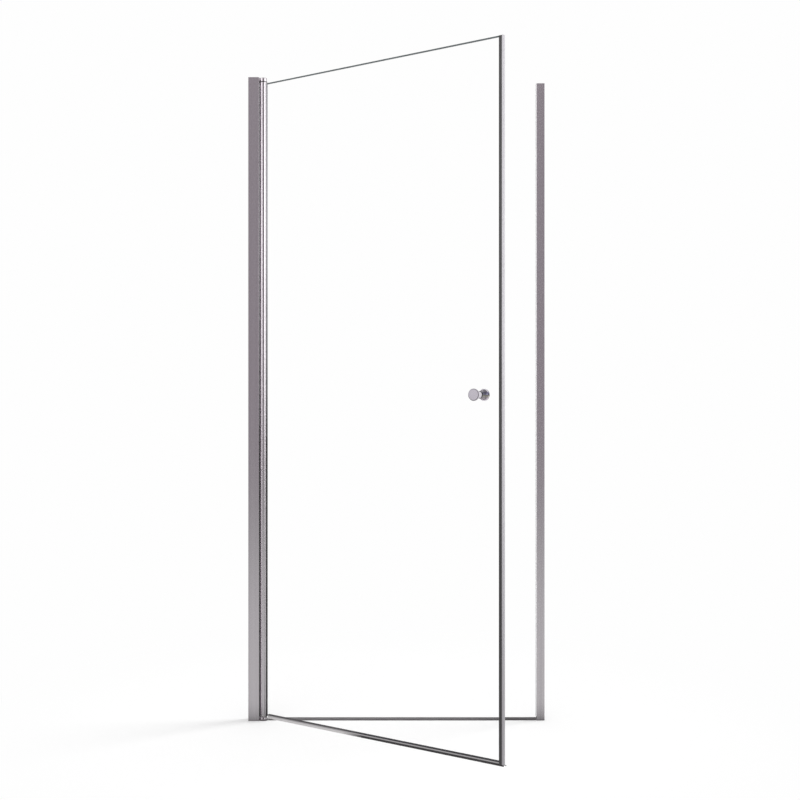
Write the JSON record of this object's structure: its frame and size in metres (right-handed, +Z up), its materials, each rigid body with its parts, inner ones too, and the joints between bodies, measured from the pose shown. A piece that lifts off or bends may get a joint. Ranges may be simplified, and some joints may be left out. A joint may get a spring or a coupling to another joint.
{
  "type": "pivot shower door",
  "caption": "Frameless glass shower door for a niche that pivots on top and bottom pins beside a wall post and closes on a magnetic strip at the far post.",
  "frame": {"origin": "on the shower tray, halfway between the two walls, in the plane of the pivots", "axes": "+X from the hinge wall to the closing wall, +Y into the shower, +Z up"},
  "size_m": [0.898, 0.4773, 1.95],
  "materials": {
    "bright_anodised_aluminium": "bright satin anodised extrusion",
    "chrome": "polished chrome plating",
    "clear_safety_glass": "clear toughened glass",
    "seal_pvc": "smoky translucent seal",
    "magnet_strip": "light grey magnet strip",
    "gasket_rubber": "dark soft rubber",
    "strike_pvc": "white soft strip",
    "stainless_steel": "stainless steel",
    "bearing_plastic": "low friction plastic",
    "grey_plastic": "grey moulded plastic",
    "tape": "adhesive foam tape"
  },
  "bodies": {
    "frame": {"hinge_wall_channel": "bright_anodised_aluminium", "hinge_post": "bright_anodised_aluminium", "hinge_post_cap": "grey_plastic", "hinge_post_wiper": "gasket_rubber", "hinge_fixing_screws": "stainless_steel", "hinge_screw_covers": "chrome", "bracket_screws": "stainless_steel", "closing_wall_channel": "bright_anodised_aluminium", "closing_post": "bright_anodised_aluminium", "closing_post_cap": "grey_plastic", "closing_fixing_screws": "stainless_steel", "closing_screw_covers": "chrome", "top_pivot_bracket": "chrome", "bottom_pivot_bracket": "chrome", "top_pivot_pin": "stainless_steel", "bottom_pivot_pin": "stainless_steel", "thrust_washer": "bearing_plastic", "strike_seal": "strike_pvc", "strike_magnet": "magnet_strip", "sill": "bright_anodised_aluminium", "sill_tape": "tape", "sill_end_plugs": "grey_plastic"},
    "door": {"door_hinge_profile": "bright_anodised_aluminium", "glazing_gasket": "gasket_rubber", "top_bush": "bearing_plastic", "bottom_bush": "bearing_plastic", "door_glass": "clear_safety_glass", "free_edge_clip": "seal_pvc", "free_edge_magnet": "magnet_strip", "bottom_seal": "seal_pvc", "knob_outer": "chrome", "knob_inner": "chrome", "knob_stud": "stainless_steel", "knob_washers": "grey_plastic", "knob_sleeve": "bearing_plastic"}
  },
  "joints": [
    {"name": "door_pivot", "type": "hinge", "parent": "frame", "child": "door", "pos_m": [-0.4045, 0, 0], "axis": [0, 0, -1], "range_deg": [-33.5, 66.5]}
  ]
}
